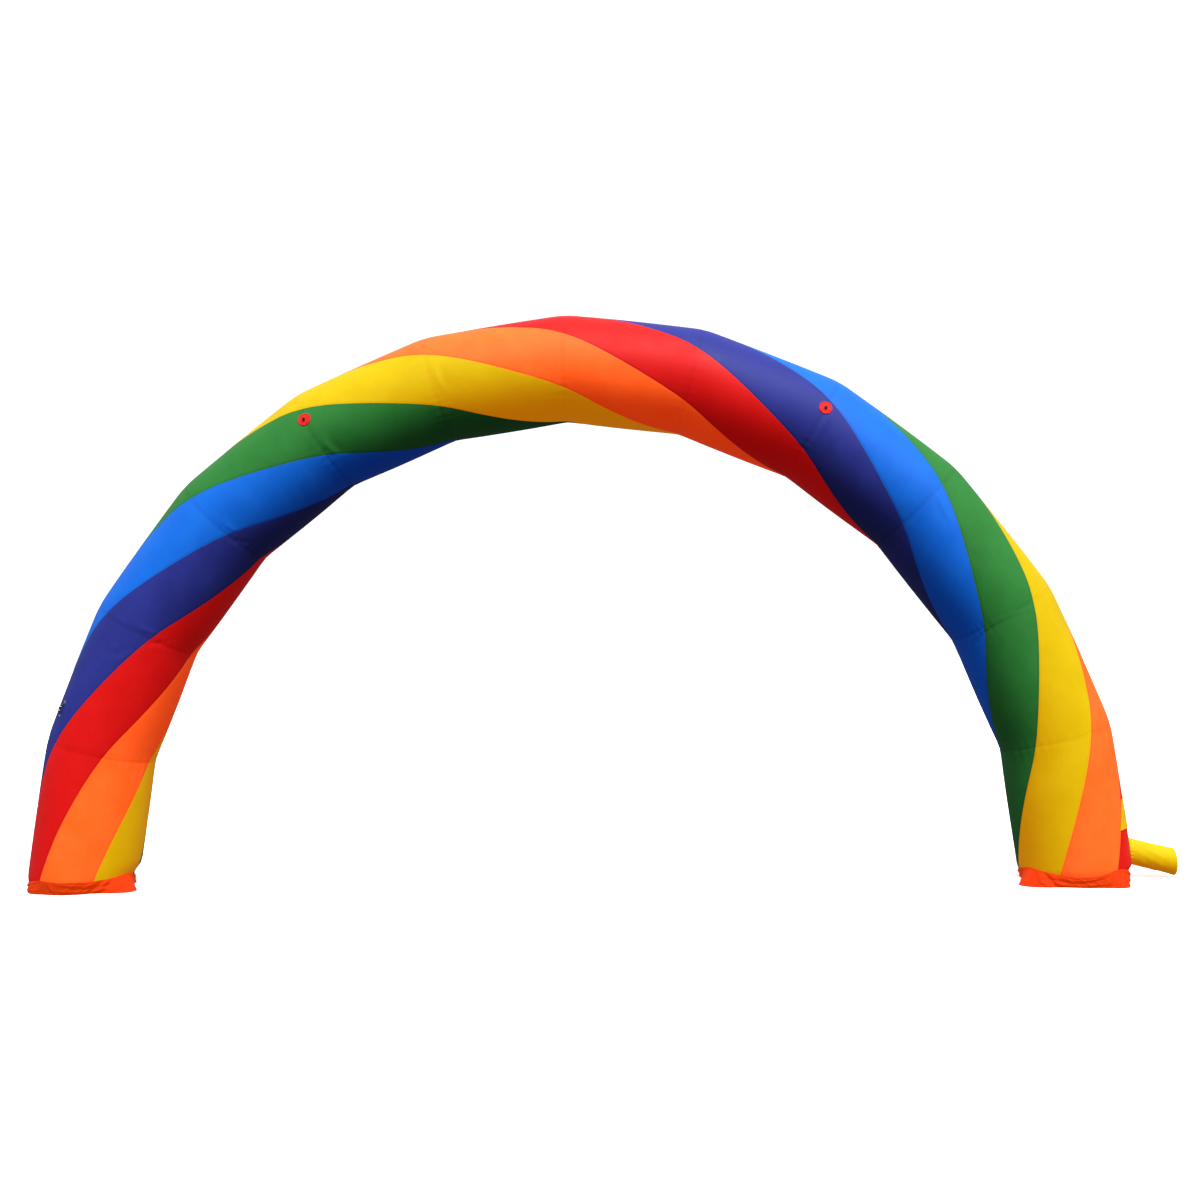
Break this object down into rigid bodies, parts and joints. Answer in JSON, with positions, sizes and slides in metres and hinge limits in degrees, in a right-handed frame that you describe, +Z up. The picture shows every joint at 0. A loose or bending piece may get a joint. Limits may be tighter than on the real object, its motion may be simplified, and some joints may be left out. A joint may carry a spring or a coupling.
{
  "type": "inflatable arch",
  "caption": "Free-standing inflatable entrance arch: a round air tube in mitred straight sections, with winding colour stripes, ground skirts and an air duct.",
  "frame": {"origin": "on the ground, under the middle of the whole part, air duct included", "axes": "+X across the gateway toward the leg with the air duct, +Y through the gateway away from the front, +Z up"},
  "size_m": [10.4616, 1.1354, 5.1675],
  "materials": {
    "stripe_yellow": "smooth coated cloth, satin sheen",
    "stripe_orange": "smooth coated cloth, satin sheen",
    "stripe_red": "smooth coated cloth, satin sheen",
    "stripe_navy": "smooth coated cloth, satin sheen",
    "stripe_blue": "smooth coated cloth, satin sheen",
    "stripe_green": "smooth coated cloth, satin sheen",
    "base_cloth": "heavy coated cloth, matt",
    "skirt_cloth": "coated cloth, gathered, satin sheen",
    "duct_cloth": "smooth coated cloth, satin sheen",
    "flap_cloth": "smooth coated cloth, satin sheen",
    "patch_cloth": "coated cloth, welded edge, satin sheen",
    "webbing": "woven webbing, matt"
  },
  "bodies": {
    "root": {"stripe_yellow": "stripe_yellow", "stripe_orange": "stripe_orange", "stripe_red": "stripe_red", "stripe_navy": "stripe_navy", "stripe_blue": "stripe_blue", "stripe_green": "stripe_green", "left_base_panel": "base_cloth", "right_base_panel": "base_cloth", "left_skirt": "skirt_cloth", "right_skirt": "skirt_cloth", "air_duct": "duct_cloth", "side_flap": "flap_cloth", "left_tether_patch": "patch_cloth", "right_tether_patch": "patch_cloth", "left_tether_loop": "webbing", "right_tether_loop": "webbing", "side_tab": "webbing"}
  },
  "joints": []
}
